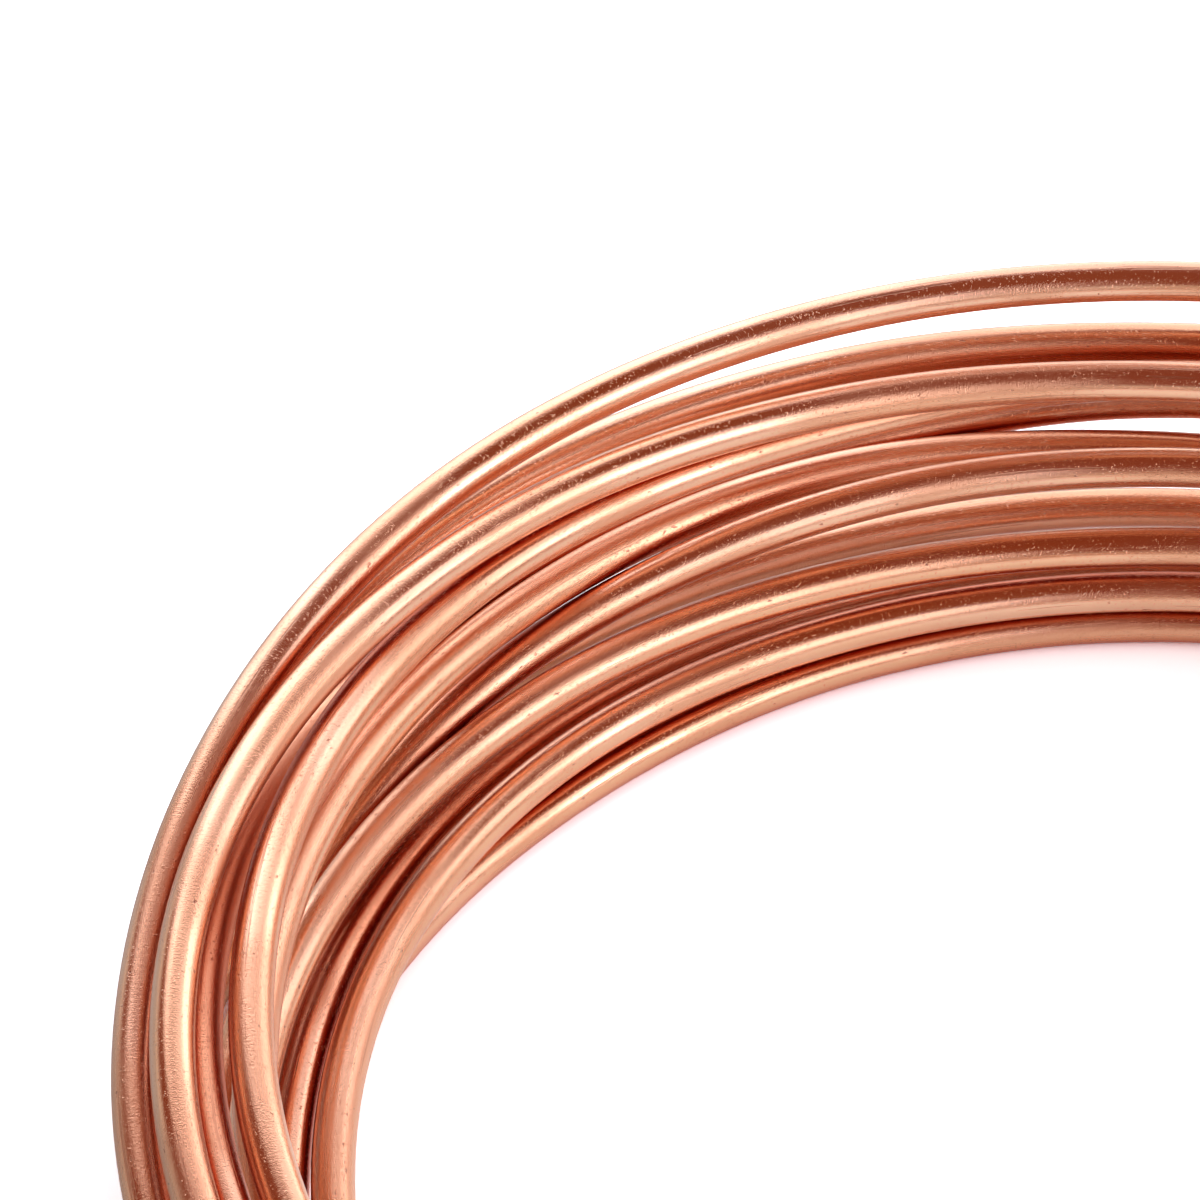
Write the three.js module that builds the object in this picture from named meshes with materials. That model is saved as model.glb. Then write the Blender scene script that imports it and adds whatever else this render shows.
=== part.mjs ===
/**
 * Copper tube coil: ten metres of soft quarter-inch copper tube, wound round and round, lying flat.
 *
 * It is one piece of stock, so it is one solid: a hollow tube carried round the vertical axis turn by
 * turn, open at both of its cut ends. The turns are loose. They lean outward as they rise, cross over
 * each other and let daylight through, as soft tube does when nothing ties it.
 *
 * Millimetres, +Z up, resting on z = 0 with the middle of its box at the origin.
 */
import * as THREE from 'three';

// The tube.
const TUBE_OD = 6.35;
const WALL = 0.8;

// The winding. A lane is the room that one turn takes beside the next.
const BORE_RADIUS = 121;
const LAY_GAP = 0.15;
const LANE = TUBE_OD + LAY_GAP;

// Where the cut ends are, in degrees round the ring: in the first turn and in the last one.
const INNER_END_ANGLE = 60;
const OUTER_END_ANGLE = 198;

// Facets.
const STEPS_PER_TURN = 36;
const OUTER_SIDES = 8;
const INNER_SIDES = 6;

/**
 * The lay of the turns, in the order in which the tube runs through them. Each turn is given at five
 * places round the ring by the lane it keeps there: columns outward from the bore, rows up from the
 * floor. They are not whole lanes, because the turns of a loose coil lean and sag.
 */
const PLACES = [90, 110, 135, 180, 315];
const LAY = [
  // Down the inside of the coil to the floor.
  [[1.7, 3.7], [1.7, 3.65], [2.25, 2.7], [2.6, 1.0], [2.3, 2.8]],
  [[0.5, 2.2], [0.7, 2.2], [1.2, 2.3], [1.8, 2.3], [0.6, 1.8]],
  [[0.1, 1.1], [0.1, 1.1], [0.3, 1.1], [0.0, 1.4], [0.1, 0.5]],
  // Outward along the floor.
  [[0.2, 0.0], [0.1, 0.0], [0.1, 0.0], [1.2, 0.0], [1.3, 0.0]],
  [[1.7, 0.6], [1.7, 0.6], [1.6, 0.7], [1.0, 1.1], [2.7, 0.9]],
  [[4.1, 0.35], [4.1, 0.2], [4.1, 0.0], [4.1, 0.0], [4.1, 1.1]],
  // Up through the middle and over the top.
  [[3.4, 2.8], [3.3, 3.3], [2.7, 3.7], [1.6, 4.4], [2.5, 4.2]],
  [[4.4, 3.6], [4.3, 3.1], [3.75, 3.65], [2.7, 5.9], [2.7, 5.3]],
  [[3.2, 5.2], [2.9, 5.1], [2.6, 5.5], [1.6, 6.4], [1.8, 6.3]],
  [[2.3, 5.9], [2.5, 6.1], [2.7, 6.6], [3.2, 6.9], [3.7, 6.4]],
  // Along the outside.
  [[4.4, 5.4], [4.5, 5.5], [4.8, 5.2], [3.9, 4.1], [4.8, 6.7]],
  [[3.9, 7.7], [4.0, 7.6], [4.1, 7.2], [4.1, 5.6], [4.0, 6.0]],
];

/** The middle line of the tube, from its inner cut end to its outer one. */
class WoundLine extends THREE.Curve {
  constructor() {
    super();
    const angles = LAY.flatMap((turn, index) => PLACES.map((place) => place + 360 * index));
    this.lanes = new THREE.CubicInterpolant(angles, LAY.flat(2), 2);
    this.lanes.settings = { endingStart: THREE.ZeroSlopeEnding, endingEnd: THREE.ZeroSlopeEnding };
    this.startAngle = INNER_END_ANGLE;
    this.endAngle = OUTER_END_ANGLE + 360 * (LAY.length - 1);
  }

  getPoint(t, target = new THREE.Vector3()) {
    const angle = THREE.MathUtils.lerp(this.startAngle, this.endAngle, t);
    const [column, row] = this.lanes.evaluate(angle);
    const radius = BORE_RADIUS + TUBE_OD / 2 + column * LANE;
    const height = TUBE_OD / 2 + Math.max(row, 0) * LANE; // the floor holds up what sags
    const round = THREE.MathUtils.degToRad(angle);
    return target.set(radius * Math.cos(round), radius * Math.sin(round), height);
  }

  // Steps are equal in angle, not in length, so that the facets of neighbouring turns stand side by side.
  getUtoTmapping(u) {
    return u;
  }
}

/** A regular polygon on a circle, with a flat at the bottom when it has an even number of sides. */
function polygonPoints(radius, sides) {
  return Array.from({ length: sides }, (unused, index) => {
    const angle = ((index + 0.5) / sides) * 2 * Math.PI;
    return new THREE.Vector2(radius * Math.cos(angle), radius * Math.sin(angle));
  });
}

/** The tube's ring section. */
function tubeSection() {
  const section = new THREE.Shape(polygonPoints(TUBE_OD / 2, OUTER_SIDES));
  section.holes.push(new THREE.Path(polygonPoints(TUBE_OD / 2 - WALL, INNER_SIDES)));
  return section;
}

/** The coil: the tube's section carried along the wound line. */
function woundTube() {
  const line = new WoundLine();
  const turns = (line.endAngle - line.startAngle) / 360;
  const geometry = new THREE.ExtrudeGeometry(tubeSection(), {
    steps: Math.round(turns * STEPS_PER_TURN),
    extrudePath: line,
    bevelEnabled: false,
  });
  return restAtOrigin(geometry);
}

/** Moves a geometry so that the middle of its box's underside is the origin. */
function restAtOrigin(geometry) {
  geometry.computeBoundingBox();
  const { min, max } = geometry.boundingBox;
  return geometry.translate(-(min.x + max.x) / 2, -(min.y + max.y) / 2, -min.z);
}

const copper = new THREE.MeshStandardMaterial({ color: 0xd08a66, metalness: 1, roughness: 0.32 });

const coil = new THREE.Group();
const tube = new THREE.Mesh(woundTube(), copper);
tube.name = 'tube_coil';
coil.add(tube);

export default coil;
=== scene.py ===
"""A loose coil of bare copper tube, lying flat in a plain studio.

Every size is in metres. The coil is one piece of tube, so one operator winds it and one sets the stage.
"""
import math
from collections import Counter
import bpy
from bpy.props import FloatProperty, FloatVectorProperty, IntProperty, PointerProperty
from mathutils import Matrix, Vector


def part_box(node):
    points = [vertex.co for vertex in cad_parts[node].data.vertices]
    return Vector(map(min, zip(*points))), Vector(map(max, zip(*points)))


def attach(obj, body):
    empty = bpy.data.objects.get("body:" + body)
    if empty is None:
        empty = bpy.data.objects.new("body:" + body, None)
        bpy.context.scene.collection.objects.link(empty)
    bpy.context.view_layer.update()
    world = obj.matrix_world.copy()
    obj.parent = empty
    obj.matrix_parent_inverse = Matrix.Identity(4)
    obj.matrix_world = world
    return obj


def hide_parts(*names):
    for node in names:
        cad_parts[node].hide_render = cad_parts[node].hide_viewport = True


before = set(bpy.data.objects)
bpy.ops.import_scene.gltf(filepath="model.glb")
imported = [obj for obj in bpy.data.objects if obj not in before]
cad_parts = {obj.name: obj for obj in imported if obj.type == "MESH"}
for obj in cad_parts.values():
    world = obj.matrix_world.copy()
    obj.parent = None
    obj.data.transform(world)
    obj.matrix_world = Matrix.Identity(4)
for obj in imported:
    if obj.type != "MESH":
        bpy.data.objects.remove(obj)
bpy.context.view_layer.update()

bl_info = {
    "name": "Copper Tube Coil",
    "version": (1, 0, 0),
    "blender": (4, 5, 0),
    "location": "View3D > Sidebar > Copper Coil",
    "description": "Winds a loose coil of copper tube and sets a plain studio round it",
    "category": "Object",
}

MM = 0.001
NODE = "tube_coil"
STRAIGHT = "straight"
SMOOTH_UNDER = math.radians(40)

# The lay of the turns, in the order in which the tube runs through them. Each turn is given at five
# places round the ring, in degrees, by the lane it keeps there: columns outward from the bore, and rows
# up from the floor.
PLACES = (90, 110, 135, 180, 315)
LAY = (
    # Down the inside of the coil to the floor.
    ((1.7, 3.7), (1.7, 3.65), (2.25, 2.7), (2.6, 1.0), (2.3, 2.8)),
    ((0.5, 2.2), (0.7, 2.2), (1.2, 2.3), (1.8, 2.3), (0.6, 1.8)),
    ((0.1, 1.1), (0.1, 1.1), (0.3, 1.1), (0.0, 1.4), (0.1, 0.5)),
    # Outward along the floor.
    ((0.2, 0.0), (0.1, 0.0), (0.1, 0.0), (1.2, 0.0), (1.3, 0.0)),
    ((1.7, 0.6), (1.7, 0.6), (1.6, 0.7), (1.0, 1.1), (2.7, 0.9)),
    ((4.1, 0.35), (4.1, 0.2), (4.1, 0.0), (4.1, 0.0), (4.1, 1.1)),
    # Up through the middle and over the top.
    ((3.4, 2.8), (3.3, 3.3), (2.7, 3.7), (1.6, 4.4), (2.5, 4.2)),
    ((4.4, 3.6), (4.3, 3.1), (3.75, 3.65), (2.7, 5.9), (2.7, 5.3)),
    ((3.2, 5.2), (2.9, 5.1), (2.6, 5.5), (1.6, 6.4), (1.8, 6.3)),
    ((2.3, 5.9), (2.5, 6.1), (2.7, 6.6), (3.2, 6.9), (3.7, 6.4)),
    # Along the outside.
    ((4.4, 5.4), (4.5, 5.5), (4.8, 5.2), (3.9, 4.1), (4.8, 6.7)),
    ((3.9, 7.7), (4.0, 7.6), (4.1, 7.2), (4.1, 5.6), (4.0, 6.0)),
)


class CoilSizes(bpy.types.PropertyGroup):
    """Sizes and colours of the wound tube"""

    tube_od: FloatProperty(
        name="Tube diameter", description="Outside diameter of the tube", unit="LENGTH", default=6.35 * MM
    )
    wall: FloatProperty(
        name="Wall", description="Thickness of the tube's wall", unit="LENGTH", default=0.8 * MM
    )
    bore_radius: FloatProperty(
        name="Bore radius", description="Clear radius inside the innermost lane", unit="LENGTH",
        default=121 * MM,
    )
    lay_gap: FloatProperty(
        name="Lay gap", description="Least air between two turns side by side", unit="LENGTH",
        default=0.15 * MM,
    )
    inner_end: FloatProperty(
        name="Inner end", description="Where the first turn starts", unit="ROTATION",
        default=math.radians(60),
    )
    outer_end: FloatProperty(
        name="Outer end", description="Where the last turn stops", unit="ROTATION",
        default=math.radians(198),
    )
    skin_steps: IntProperty(
        name="Skin steps", description="Sections of the outer skin in one turn", default=240
    )
    skin_roundness: IntProperty(
        name="Skin roundness", description="Roundness of the outer skin", default=10
    )
    bore_steps: IntProperty(
        name="Bore steps", description="Sections of the bore in one turn", default=120
    )
    bore_roundness: IntProperty(name="Bore roundness", description="Roundness of the bore", default=4)
    rim: FloatProperty(
        name="Rim", description="Width of the worn edge at each cut end", unit="LENGTH", default=0.15 * MM
    )
    copper: FloatVectorProperty(
        name="Copper", description="Colour of clean drawn copper", subtype="COLOR",
        default=(0.925, 0.53, 0.345),
    )
    relief: FloatProperty(
        name="Relief", description="Height of the marks in the skin", unit="LENGTH", default=0.035 * MM
    )
    roughness: FloatProperty(
        name="Roughness", description="Roughness of the drawn skin", subtype="FACTOR", default=0.235
    )


class StudioSizes(bpy.types.PropertyGroup):
    """Camera and light of the plain studio"""

    elevation: FloatProperty(
        name="Camera elevation", description="Angle that the camera looks down at", unit="ROTATION",
        default=math.radians(41.7),
    )
    distance: FloatProperty(
        name="Camera distance", description="From the camera to its aim", unit="LENGTH", default=856 * MM
    )
    aim_right: FloatProperty(
        name="Aim right", description="Aim, across the view", unit="LENGTH", default=-87.85 * MM
    )
    aim_up: FloatProperty(
        name="Aim up", description="Aim, up the view", unit="LENGTH", default=89.63 * MM
    )
    lens: FloatProperty(
        name="Lens", description="Focal length in millimetres", unit="CAMERA", default=179.2
    )
    floor: FloatProperty(name="Floor", description="Tone of the floor to the camera", default=2.2)
    mirrored: FloatProperty(
        name="Mirrored floor", description="Tone in the metal of the floor in the ring", default=1.4
    )
    outskirts: FloatProperty(
        name="Outer floor", description="Tone in the metal of the floor round the ring", default=0.6
    )
    daylight: FloatVectorProperty(
        name="Daylight", description="Colour of the lamps", subtype="COLOR", default=(0.79, 0.875, 1.0)
    )


def lane_slopes(angles, lanes):
    """Slope at each place: the mean of the slopes on its two sides, and none at the first and last."""
    steps = [
        [(after[axis] - before[axis]) / (angle_after - angle_before) for axis in (0, 1)]
        for before, after, angle_before, angle_after in zip(lanes, lanes[1:], angles, angles[1:])
    ]
    level = [0.0, 0.0]
    means = [[(left[axis] + right[axis]) / 2 for axis in (0, 1)] for left, right in zip(steps, steps[1:])]
    return [level, *means, level]


class Lanes:
    """The lane that the tube keeps at any angle along its run, smooth between the places of LAY."""

    def __init__(self):
        self.angles = [place + 360 * turn for turn in range(len(LAY)) for place in PLACES]
        self.lanes = [lane for turn in LAY for lane in turn]
        self.slopes = lane_slopes(self.angles, self.lanes)

    def at(self, angle):
        if angle <= self.angles[0]:
            return self.lanes[0]  # the tube starts before the first place
        after = next(index for index, place in enumerate(self.angles) if place >= angle)
        before = after - 1
        span = self.angles[after] - self.angles[before]
        t = (angle - self.angles[before]) / span
        weights = (
            2 * t**3 - 3 * t**2 + 1,
            (t**3 - 2 * t**2 + t) * span,
            3 * t**2 - 2 * t**3,
            (t**3 - t**2) * span,
        )
        terms = (self.lanes[before], self.slopes[before], self.lanes[after], self.slopes[after])
        return [sum(weight * term[axis] for weight, term in zip(weights, terms)) for axis in (0, 1)]


def wound_points(sizes, steps_per_turn):
    """Points of the tube's middle line, from its inner cut end to its outer one."""
    lanes = Lanes()
    start = math.degrees(sizes.inner_end)
    sweep = math.degrees(sizes.outer_end) + 360 * (len(LAY) - 1) - start
    steps = round(sweep / 360 * steps_per_turn)
    lane = sizes.tube_od + sizes.lay_gap
    points = []
    for step in range(steps + 1):
        angle = start + sweep * step / steps
        column, row = lanes.at(angle)
        radius = sizes.bore_radius + sizes.tube_od / 2 + column * lane
        height = sizes.tube_od / 2 + max(row, 0) * lane  # the floor holds up what sags
        turned = math.radians(angle)
        points.append((radius * math.cos(turned), radius * math.sin(turned), height))
    return points


def deselect_all():
    bpy.ops.object.select_all(action="DESELECT")


def select_only(piece):
    deselect_all()
    piece.select_set(True)
    bpy.context.view_layer.objects.active = piece


def round_skin(points, radius, roundness, name):
    """A round open-ended skin along the points, by way of a bevelled curve."""
    deselect_all()
    bpy.ops.curve.primitive_nurbs_path_add(radius=1, location=(0, 0, 0))
    curve = bpy.context.object
    curve.name = name
    curve.data.splines.clear()
    spline = curve.data.splines.new("POLY")
    spline.points.add(len(points) - 1)
    spline.points.foreach_set("co", [value for point in points for value in (*point, 1.0)])
    curve.data.twist_mode = "Z_UP"
    curve.data.bevel_depth = radius
    curve.data.bevel_resolution = roundness
    bpy.ops.object.convert(target="MESH")
    skin = bpy.context.object
    mark_straight(skin.data, points)
    return skin


def mark_straight(mesh, points):
    """Stores on each vertex where it would be if the tube were straight: across, across and along."""
    sides = len(mesh.vertices) // len(points)
    line = [Vector(point) for point in points]
    along = 0.0
    values = []
    for ring, middle in enumerate(line):
        if ring:
            along += (middle - line[ring - 1]).length
        ahead = (line[min(ring + 1, len(line) - 1)] - line[max(ring - 1, 0)]).normalized()
        across = ahead.cross(Vector((0, 0, 1))).normalized()
        upward = across.cross(ahead)
        for side in range(sides):
            offset = mesh.vertices[ring * sides + side].co - middle
            values += [offset.dot(across), offset.dot(upward), along]
    attribute = mesh.attributes.new(STRAIGHT, "FLOAT_VECTOR", "POINT")
    attribute.data.foreach_set("vector", values)


def select_edges(mesh, wanted):
    """Selects, in edit mode, the edges that the test passes."""
    bpy.ops.mesh.select_mode(type="EDGE")
    bpy.ops.mesh.select_all(action="DESELECT")
    bpy.ops.object.mode_set(mode="OBJECT")
    for edge in mesh.edges:
        edge.select = wanted(edge)
    bpy.ops.object.mode_set(mode="EDIT")


class COIL_OT_wind(bpy.types.Operator):
    """Winds the copper tube into its coil"""

    bl_idname = "coil.wind"
    bl_label = "Wind Tube"

    def execute(self, context):
        sizes = context.scene.coil_sizes
        skin_points = wound_points(sizes, sizes.skin_steps)
        bore_points = wound_points(sizes, sizes.bore_steps)
        radius = sizes.tube_od / 2
        tube = round_skin(skin_points, radius, sizes.skin_roundness, "copper_tube")
        bore = round_skin(bore_points, radius - sizes.wall, sizes.bore_roundness, "bore")
        select_only(bore)
        bpy.ops.object.mode_set(mode="EDIT")
        bpy.ops.mesh.select_all(action="SELECT")
        bpy.ops.mesh.flip_normals()
        bpy.ops.object.mode_set(mode="OBJECT")
        tube.select_set(True)
        context.view_layer.objects.active = tube
        bpy.ops.object.join()
        close_ends(tube, sizes, skin_points)
        place_on(tube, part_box(NODE))
        select_only(tube)
        bpy.ops.object.shade_smooth_by_angle(angle=SMOOTH_UNDER)
        tube.data.materials.clear()
        tube.data.materials.append(bare_copper(sizes))
        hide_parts(NODE)
        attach(tube, "root")
        return {"FINISHED"}


def close_ends(tube, sizes, points):
    """Bridges the skin to the bore at both cut ends and wears the edges of the cuts a little."""
    mesh = tube.data
    open_edges = {key for key, count in edge_counts(mesh).items() if count == 1}

    def is_open_at(edge, end):
        return edge.key in open_edges and (mesh.vertices[edge.key[0]].co - end).length < sizes.tube_od

    bpy.ops.object.mode_set(mode="EDIT")
    for end in (Vector(points[0]), Vector(points[-1])):
        select_edges(mesh, lambda edge: is_open_at(edge, end))
        bpy.ops.mesh.bridge_edge_loops()
    select_edges(mesh, lambda edge: edge.key in open_edges)
    bpy.ops.mesh.bevel(offset=sizes.rim, segments=2, affect="EDGES")
    bpy.ops.object.mode_set(mode="OBJECT")


def edge_counts(mesh):
    """How many faces each edge has."""
    counts = Counter()
    for face in mesh.polygons:
        counts.update(face.edge_keys)
    return counts


def place_on(piece, box):
    """Moves a piece's mesh so that its box has the middle and the underside of the given box."""
    low, high = (Vector(corner) for corner in box)
    corners = [piece.matrix_world @ vertex.co for vertex in piece.data.vertices]
    least = Vector(min(corner[axis] for corner in corners) for axis in range(3))
    most = Vector(max(corner[axis] for corner in corners) for axis in range(3))
    shift = (low + high) / 2 - (least + most) / 2
    shift.z = low.z - least.z
    for vertex in piece.data.vertices:
        vertex.co += shift


class Flow:
    """What flows out of a shader node's socket. Arithmetic on it adds Math nodes."""

    def __init__(self, nodes, socket):
        self.nodes = nodes
        self.socket = socket

    def math(self, operation, *terms):
        return self.nodes.add("Math", {"operation": operation}, dict(enumerate(terms)))

    def __add__(self, other):
        return self.math("ADD", self, other)

    def __radd__(self, other):
        return self.math("ADD", other, self)

    def __sub__(self, other):
        return self.math("SUBTRACT", self, other)

    def __rsub__(self, other):
        return self.math("SUBTRACT", other, self)

    def __mul__(self, other):
        return self.math("MULTIPLY", self, other)

    def __rmul__(self, other):
        return self.math("MULTIPLY", other, self)


class Nodes:
    """The nodes of one material, or of the world."""

    def __init__(self, owner, shader="Principled BSDF"):
        owner.use_nodes = True
        self.tree = owner.node_tree
        self.shader = self.tree.nodes[shader]

    def add(self, kind, settings, inputs, output=0):
        """Adds a node with its settings, then its inputs, and gives what flows out of it."""
        node = self.tree.nodes.new("ShaderNode" + kind)
        for name, value in settings.items():
            setattr(node, name, value)
        for name, value in inputs.items():
            self.feed(node.inputs[name], value)
        return Flow(self, node.outputs[output])

    def feed(self, socket, value):
        if isinstance(value, Flow):
            self.tree.links.new(value.socket, socket)
        else:
            socket.default_value = value

    def between(self, value, low, high):
        """Nought where the value is under low, one where it is over high, and smooth between."""
        inputs = {"Value": value, "From Min": low, "From Max": high}
        return self.add("MapRange", {"interpolation_type": "SMOOTHSTEP"}, inputs)

    def mix(self, share, first, second):
        """The first colour where the share is nought, and the second where it is one."""
        return self.add("Mix", {"data_type": "RGBA"}, {0: share, 6: first, 7: second}, 2)

    def noise(self, place, stretch, detail=2.0, roughness=0.5):
        """Noise whose grains are as many to the metre, along each axis, as stretch says."""
        inputs = {
            "Vector": self.add("Mapping", {}, {"Vector": place, "Scale": stretch}),
            "Scale": 1,
            "Detail": detail,
            "Roughness": roughness,
        }
        return self.add("TexNoise", {}, inputs)


def grey(tone):
    return (tone, tone, tone, 1)


def tinted(colour, tint):
    return (*[shade * share for shade, share in zip(colour, tint)], 1)


# Shares of the clean copper's red, green and blue that its warmer, redder and duller places keep.
WARM_TINT = (0.98, 0.92, 0.84)
WINE_TINT = (0.88, 0.75, 0.66)
DULL_TINT = (0.55, 0.42, 0.4)
# Share kept where painted shade darkens the skin between the turns.
PAINTED_SHADE_TINT = (0.57, 0.19, 0.08)

# How far off another turn still casts the painted shade on the skin, and the shares of open air (ambient
# occlusion) between which that painted deep red shade fades out.
PAINTED_SHADE_REACH = 7 * MM
PAINTED_SHADE_FADE = (0.25, 0.93)


def bare_copper(sizes):
    """Drawn copper: a bright satin skin with lengthwise draw lines, a fine grain and a few small marks.

    Its patterns are laid out on the tube as it was before it was wound, so they follow every turn.
    """
    material = bpy.data.materials.new("bare_copper")
    nodes = Nodes(material)
    place = nodes.add("Attribute", {"attribute_name": STRAIGHT}, {}, "Vector")

    # The relief. Drawing leaves long lines, and winding leaves an orange peel that comes and goes.
    patches = nodes.between(nodes.noise(place, (90, 90, 14)), 0.42, 0.62)
    peeled = nodes.between(nodes.noise(place, (130, 130, 34), 1), 0.36, 0.6)
    grain = nodes.noise(place, (3400, 3400, 3100), 3, 0.7)
    chatter = nodes.noise(place, (1100, 1100, 5200), 1)
    specks = nodes.between(nodes.noise(place, (2300, 2300, 2600), 1), 0.64, 0.73)
    peel = (grain * 1.6 + chatter * 0.8 + specks * 1.8) * (peeled * 0.6 + 0.35)
    lines = nodes.noise(place, (2600, 2600, 18), 3, 0.6)
    scratches = nodes.between(nodes.noise(place, (1500, 1500, 34), 2), 0.66, 0.72)
    nicks = nodes.between(nodes.noise(place, (1300, 1300, 700), 2), 0.7, 0.76)
    height = peel + lines * 0.4 - scratches * 0.4 - nicks * 1.5
    bump = nodes.add("Bump", {}, {"Strength": 1, "Distance": sizes.relief, "Height": height}, "Normal")

    dull = tinted(sizes.copper, DULL_TINT)
    colour = nodes.mix(patches, (*sizes.copper, 1), tinted(sizes.copper, WARM_TINT))
    colour = nodes.mix(peeled * (grain + 0.2), colour, tinted(sizes.copper, WINE_TINT))
    colour = nodes.mix(scratches * 0.4, colour, dull)
    colour = nodes.mix(nicks * 0.9, colour, dull)
    # Painted shade: where the turns are close to each other, ambient occlusion darkens the skin to deep
    # red, standing in for the shade and red bounce light that fall between them.
    open_air = nodes.add("AmbientOcclusion", {"samples": 8}, {"Distance": PAINTED_SHADE_REACH}, "AO")
    painted_shade = tinted(sizes.copper, PAINTED_SHADE_TINT)
    colour = nodes.mix(nodes.between(open_air, *PAINTED_SHADE_FADE), painted_shade, colour)
    nodes.feed(nodes.shader.inputs["Base Color"], colour)
    rough = sizes.roughness + peeled * 0.06 - patches * 0.03 + scratches * 0.08 + (lines - 0.5) * 0.12
    nodes.feed(nodes.shader.inputs["Roughness"], rough)
    nodes.feed(nodes.shader.inputs["Normal"], bump)
    nodes.shader.inputs["Metallic"].default_value = 1
    return material


# Each lamp's bearing in degrees, which is clockwise from straight behind the coil and up from the floor,
# then its distance, its width and height, and its power in watts.
LAMPS = {
    "key": ((113, 23), 1.4, (2.2, 1.15), 14.8),
    "core": ((110, 20), 1.3, (0.62, 0.46), 2.6),
    "back": ((-4, 25), 0.5, (0.76, 0.46), 1.58),
    "glow": ((-24, 26), 0.48, (0.28, 0.22), 0.26),
    "side": ((46, 20), 0.64, (0.42, 0.4), 0.94),
}

FLOOR_WIDTH = 8
PALE = 0.8

# Distances from the middle of the coil: where the floor as the metal sees it goes from the tone in the
# ring, a painted pool of light, to the dimmer painted tone round it, and where the floor as the camera
# sees it fades to plain white.
RING_EDGE = (0.11, 0.2)
FADE_TO_WHITE = (0.35, 0.9)

# The room as the metal sees it: the colour of its walls, and the heights, as shares of straight up,
# between which their pale feet fade into them. Then the tone of the daylight that lights all else.
WALL_COLOUR = (0.23, 0.056, 0.024, 1)
FEET_TOP = (0.1, 0.3)
DAYLIGHT_TONE = 0.45

SENSOR_WIDTH = 36


class COIL_OT_stage(bpy.types.Operator):
    """Lays the floor, hangs the lamps and sets up the camera"""

    bl_idname = "coil.stage"
    bl_label = "Set Stage"

    def execute(self, context):
        sizes = context.scene.studio_sizes
        deselect_all()
        bpy.ops.mesh.primitive_plane_add(size=FLOOR_WIDTH, location=(0, 0, 0))
        floor = context.object
        floor.name = "floor"
        floor.data.materials.append(pale_floor(sizes))
        for name, (bearing, distance, size, power) in LAMPS.items():
            hang_lamp(name, bearing, distance, size, power, sizes.daylight)
        set_camera(context, sizes)
        set_world(context)
        context.scene.view_settings.view_transform = "Standard"
        return {"FINISHED"}


def hang_lamp(name, bearing, distance, size, power, colour):
    azimuth, height = (math.radians(angle) for angle in bearing)
    towards = Vector(
        (math.sin(azimuth) * math.cos(height), math.cos(azimuth) * math.cos(height), math.sin(height))
    )
    bpy.ops.object.light_add(type="AREA", location=towards * distance)
    lamp = bpy.context.object
    lamp.name = name + "_lamp"
    lamp.rotation_euler = towards.to_track_quat("Z", "Y").to_euler()
    lamp.data.shape = "RECTANGLE"
    lamp.data.size, lamp.data.size_y = size
    lamp.data.energy = power
    lamp.data.color = colour
    lamp.visible_camera = False


def pale_floor(sizes):
    """A pale floor that lights the coil plainly, and shows bright to the eye and to the metal."""
    material = bpy.data.materials.new("pale_floor")
    nodes = Nodes(material)
    shader = nodes.shader
    shader.inputs["Base Color"].default_value = grey(PALE)
    shader.inputs["Roughness"].default_value = 1
    shader.inputs["Specular IOR Level"].default_value = 0
    camera = nodes.add("LightPath", {}, {}, "Is Camera Ray")
    glossy = nodes.add("LightPath", {}, {}, "Is Glossy Ray")
    through = nodes.add("LightPath", {}, {}, "Is Transmission Ray")
    place = nodes.add("TexCoord", {}, {}, "Object")
    from_middle = nodes.add("VectorMath", {"operation": "LENGTH"}, {"Vector": place}, "Value")
    # Painted light: in the metal's reflection the floor is painted brighter in the ring and dimmer round
    # it.
    beyond = nodes.between(from_middle, *RING_EDGE)
    mirrored = nodes.mix(beyond, grey(sizes.mirrored), grey(sizes.outskirts))
    near = nodes.add("BsdfDiffuse", {}, {"Color": nodes.mix(camera, mirrored, grey(sizes.floor))})
    far = nodes.add("Emission", {}, {"Color": grey(1), "Strength": 1})
    faded = camera * nodes.between(from_middle, *FADE_TO_WHITE)
    bright = nodes.add("MixShader", {}, {0: faded, 1: near, 2: far})
    plainly_lit = Flow(nodes, shader.outputs[0])
    mixed = nodes.add("MixShader", {}, {0: camera + glossy + through, 1: plainly_lit, 2: bright})
    nodes.feed(nodes.tree.nodes["Material Output"].inputs["Surface"], mixed)
    return material


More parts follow.
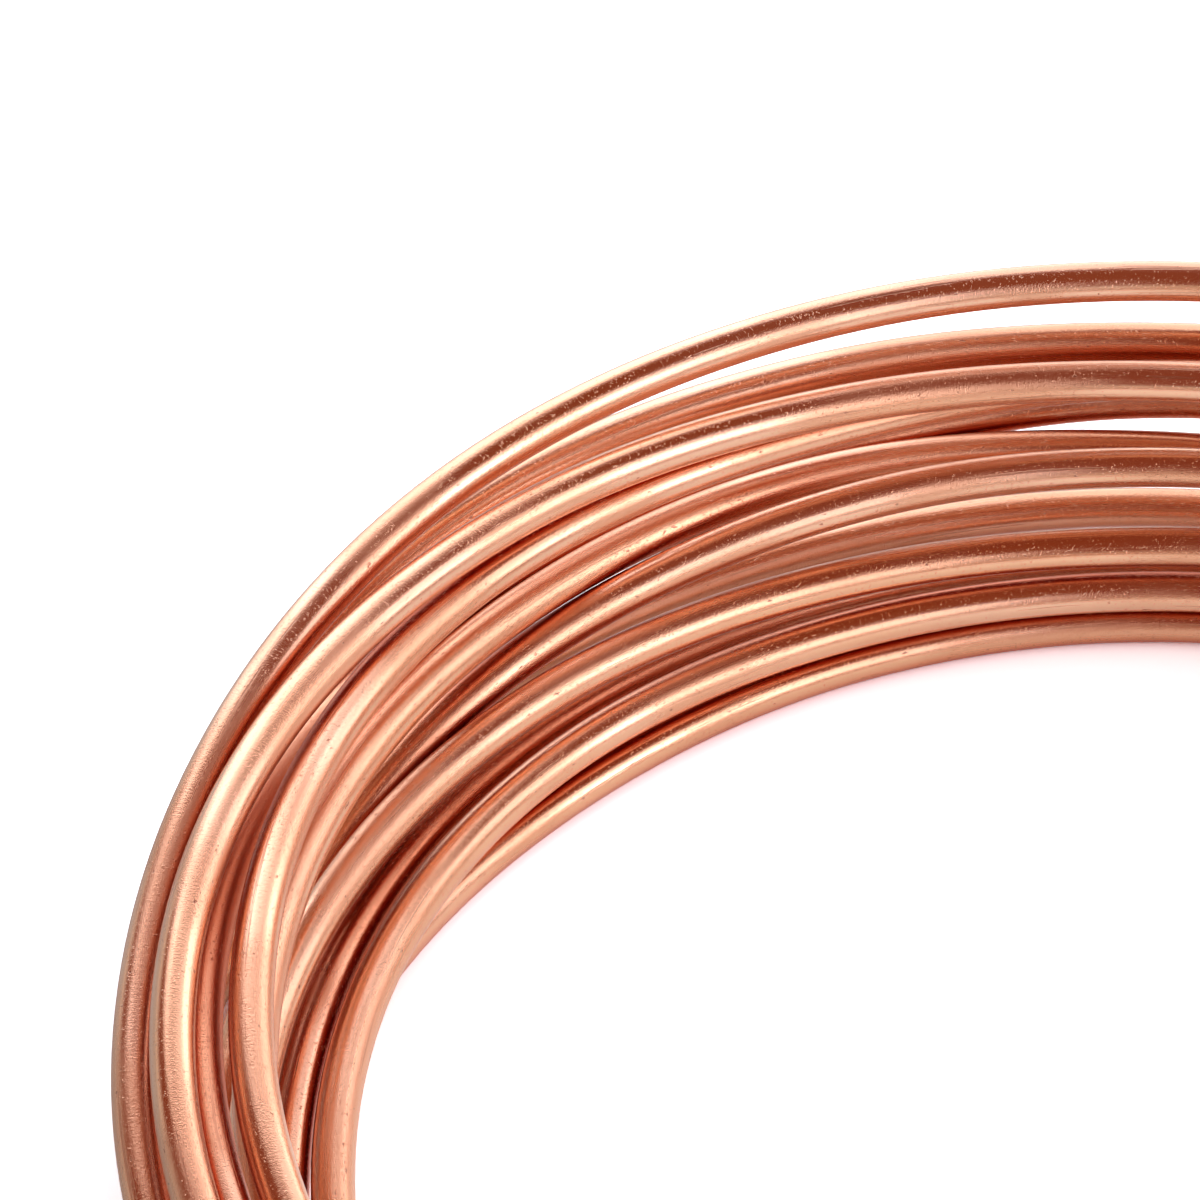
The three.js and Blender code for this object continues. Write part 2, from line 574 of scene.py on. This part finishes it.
def set_camera(context, sizes):
    elevation = sizes.elevation
    up = Vector((0, math.sin(elevation), math.cos(elevation)))
    ahead = Vector((0, math.cos(elevation), -math.sin(elevation)))
    place = Vector((sizes.aim_right, 0, 0)) + up * sizes.aim_up - ahead * sizes.distance
    bpy.ops.object.camera_add(location=place, rotation=(math.pi / 2 - elevation, 0, 0))
    camera = context.object
    camera.data.lens = sizes.lens
    camera.data.sensor_width = SENSOR_WIDTH
    context.scene.camera = camera


def set_world(context):
    """Plain grey daylight all round, which the metal sees as a dim warm room with pale wall feet."""
    world = bpy.data.worlds.new("studio")
    context.scene.world = world
    nodes = Nodes(world, "Background")
    camera = nodes.add("LightPath", {}, {}, "Is Camera Ray")
    glossy = nodes.add("LightPath", {}, {}, "Is Glossy Ray")
    towards = nodes.add("TexCoord", {}, {}, "Generated")
    height = nodes.add("SeparateXYZ", {}, {"Vector": towards}, "Z")
    room = nodes.mix(nodes.between(height, *FEET_TOP), grey(PALE), WALL_COLOUR)
    daylight = nodes.mix(camera, grey(DAYLIGHT_TONE), grey(1))
    nodes.feed(nodes.shader.inputs["Color"], nodes.mix(glossy, daylight, room))


class COIL_PT_panel(bpy.types.Panel):
    """Buttons that wind the coil and set the stage"""

    bl_idname = "COIL_PT_panel"
    bl_label = "Copper Coil"
    bl_space_type = "VIEW_3D"
    bl_region_type = "UI"
    bl_category = "Copper Coil"

    def draw(self, context):
        self.layout.operator("coil.wind")
        self.layout.operator("coil.stage")


CLASSES = (CoilSizes, StudioSizes, COIL_OT_wind, COIL_OT_stage, COIL_PT_panel)


def register():
    for cls in CLASSES:
        bpy.utils.register_class(cls)
    bpy.types.Scene.coil_sizes = PointerProperty(type=CoilSizes)
    bpy.types.Scene.studio_sizes = PointerProperty(type=StudioSizes)


def unregister():
    del bpy.types.Scene.studio_sizes
    del bpy.types.Scene.coil_sizes
    for cls in reversed(CLASSES):
        bpy.utils.unregister_class(cls)


def main():
    register()
    bpy.ops.coil.wind()
    bpy.ops.coil.stage()


if __name__ == "__main__":
    main()
